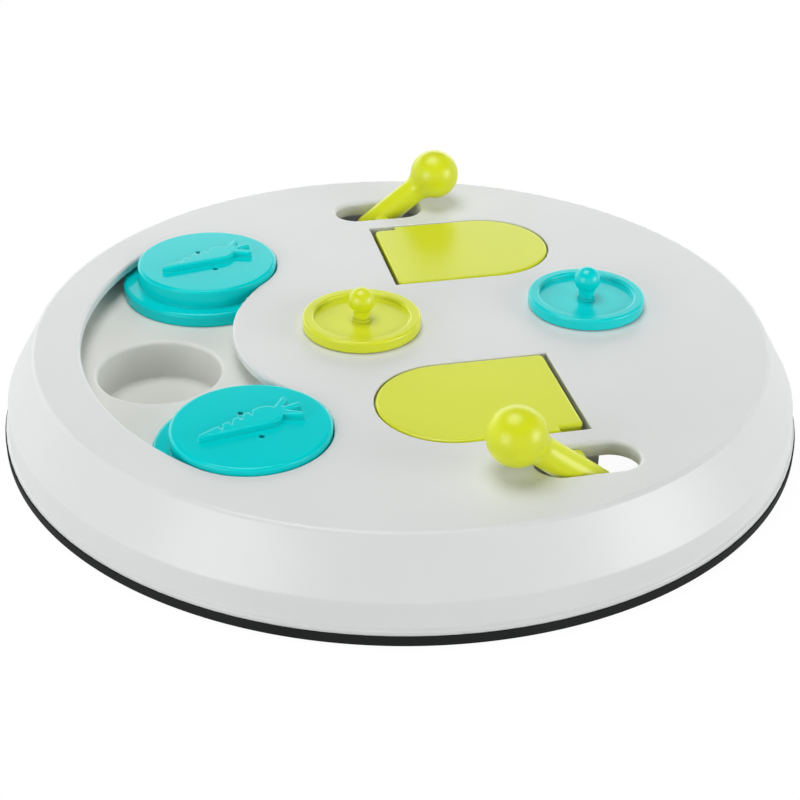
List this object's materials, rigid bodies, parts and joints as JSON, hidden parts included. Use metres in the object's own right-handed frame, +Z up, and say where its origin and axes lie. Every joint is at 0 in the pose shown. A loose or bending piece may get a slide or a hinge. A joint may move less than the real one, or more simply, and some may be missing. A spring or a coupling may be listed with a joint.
{
  "type": "pet puzzle board",
  "caption": "Round treat puzzle board for a small pet: grey deck with turquoise sliders in a curved track, lime lever-worked flaps, lift-off knob lids and a black rubber base ring.",
  "frame": {"origin": "on the table under the centre of the round board", "axes": "+X along the row of lids away from the slider track, +Y to the rear lever, +Z up"},
  "size_m": [0.23, 0.23, 0.0443],
  "materials": {
    "shell_grey": "satin light grey moulded plastic",
    "tray_grey": "satin light grey moulded plastic",
    "turquoise": "semi-gloss turquoise moulded plastic",
    "lime": "semi-gloss lime green moulded plastic",
    "grip_black": "matte black soft rubber",
    "screw_steel": "zinc plated steel"
  },
  "bodies": {
    "base": {"top_shell": "shell_grey", "grip_ring": "grip_black", "slider_tray": "tray_grey", "flap_tray_front": "tray_grey", "flap_tray_rear": "tray_grey", "lid_cup_left": "tray_grey", "lid_cup_right": "tray_grey", "tray_screws": "screw_steel"},
    "slider_rear": {"slider_rear": "turquoise"},
    "slider_front": {"slider_front": "turquoise"},
    "flap_front": {"flap_front": "lime", "lever_front": "lime", "hinge_axle_front": "lime"},
    "flap_rear": {"flap_rear": "lime", "lever_rear": "lime", "hinge_axle_rear": "lime"},
    "lid_left": {"lid_left": "lime"},
    "lid_right": {"lid_right": "turquoise"}
  },
  "joints": [
    {"name": "rear_slider_on_track", "type": "hinge", "parent": "base", "child": "slider_rear", "pos_m": [0.0019, 0, 0.01825], "axis": [0, 0, 1], "range_deg": [0, 43.2]},
    {"name": "front_slider_on_track", "type": "hinge", "parent": "base", "child": "slider_front", "pos_m": [0.0019, 0, 0.01825], "axis": [0, 0, 1], "range_deg": [-43.2, 0]},
    {"name": "front_flap_hinge", "type": "hinge", "parent": "base", "child": "flap_front", "pos_m": [0.02972, -0.04578, 0.022], "axis": [0, 1, 0], "range_deg": [0, 105]},
    {"name": "rear_flap_hinge", "type": "hinge", "parent": "base", "child": "flap_rear", "pos_m": [0.01062, 0.04578, 0.022], "axis": [0, -1, 0], "range_deg": [0, 105]},
    {"name": "left_lid_lift", "type": "slide", "parent": "base", "child": "lid_left", "axis": [0, 0, 1], "range_m": [0, 0.04]},
    {"name": "right_lid_lift", "type": "slide", "parent": "base", "child": "lid_right", "axis": [0, 0, 1], "range_m": [0, 0.04]}
  ]
}
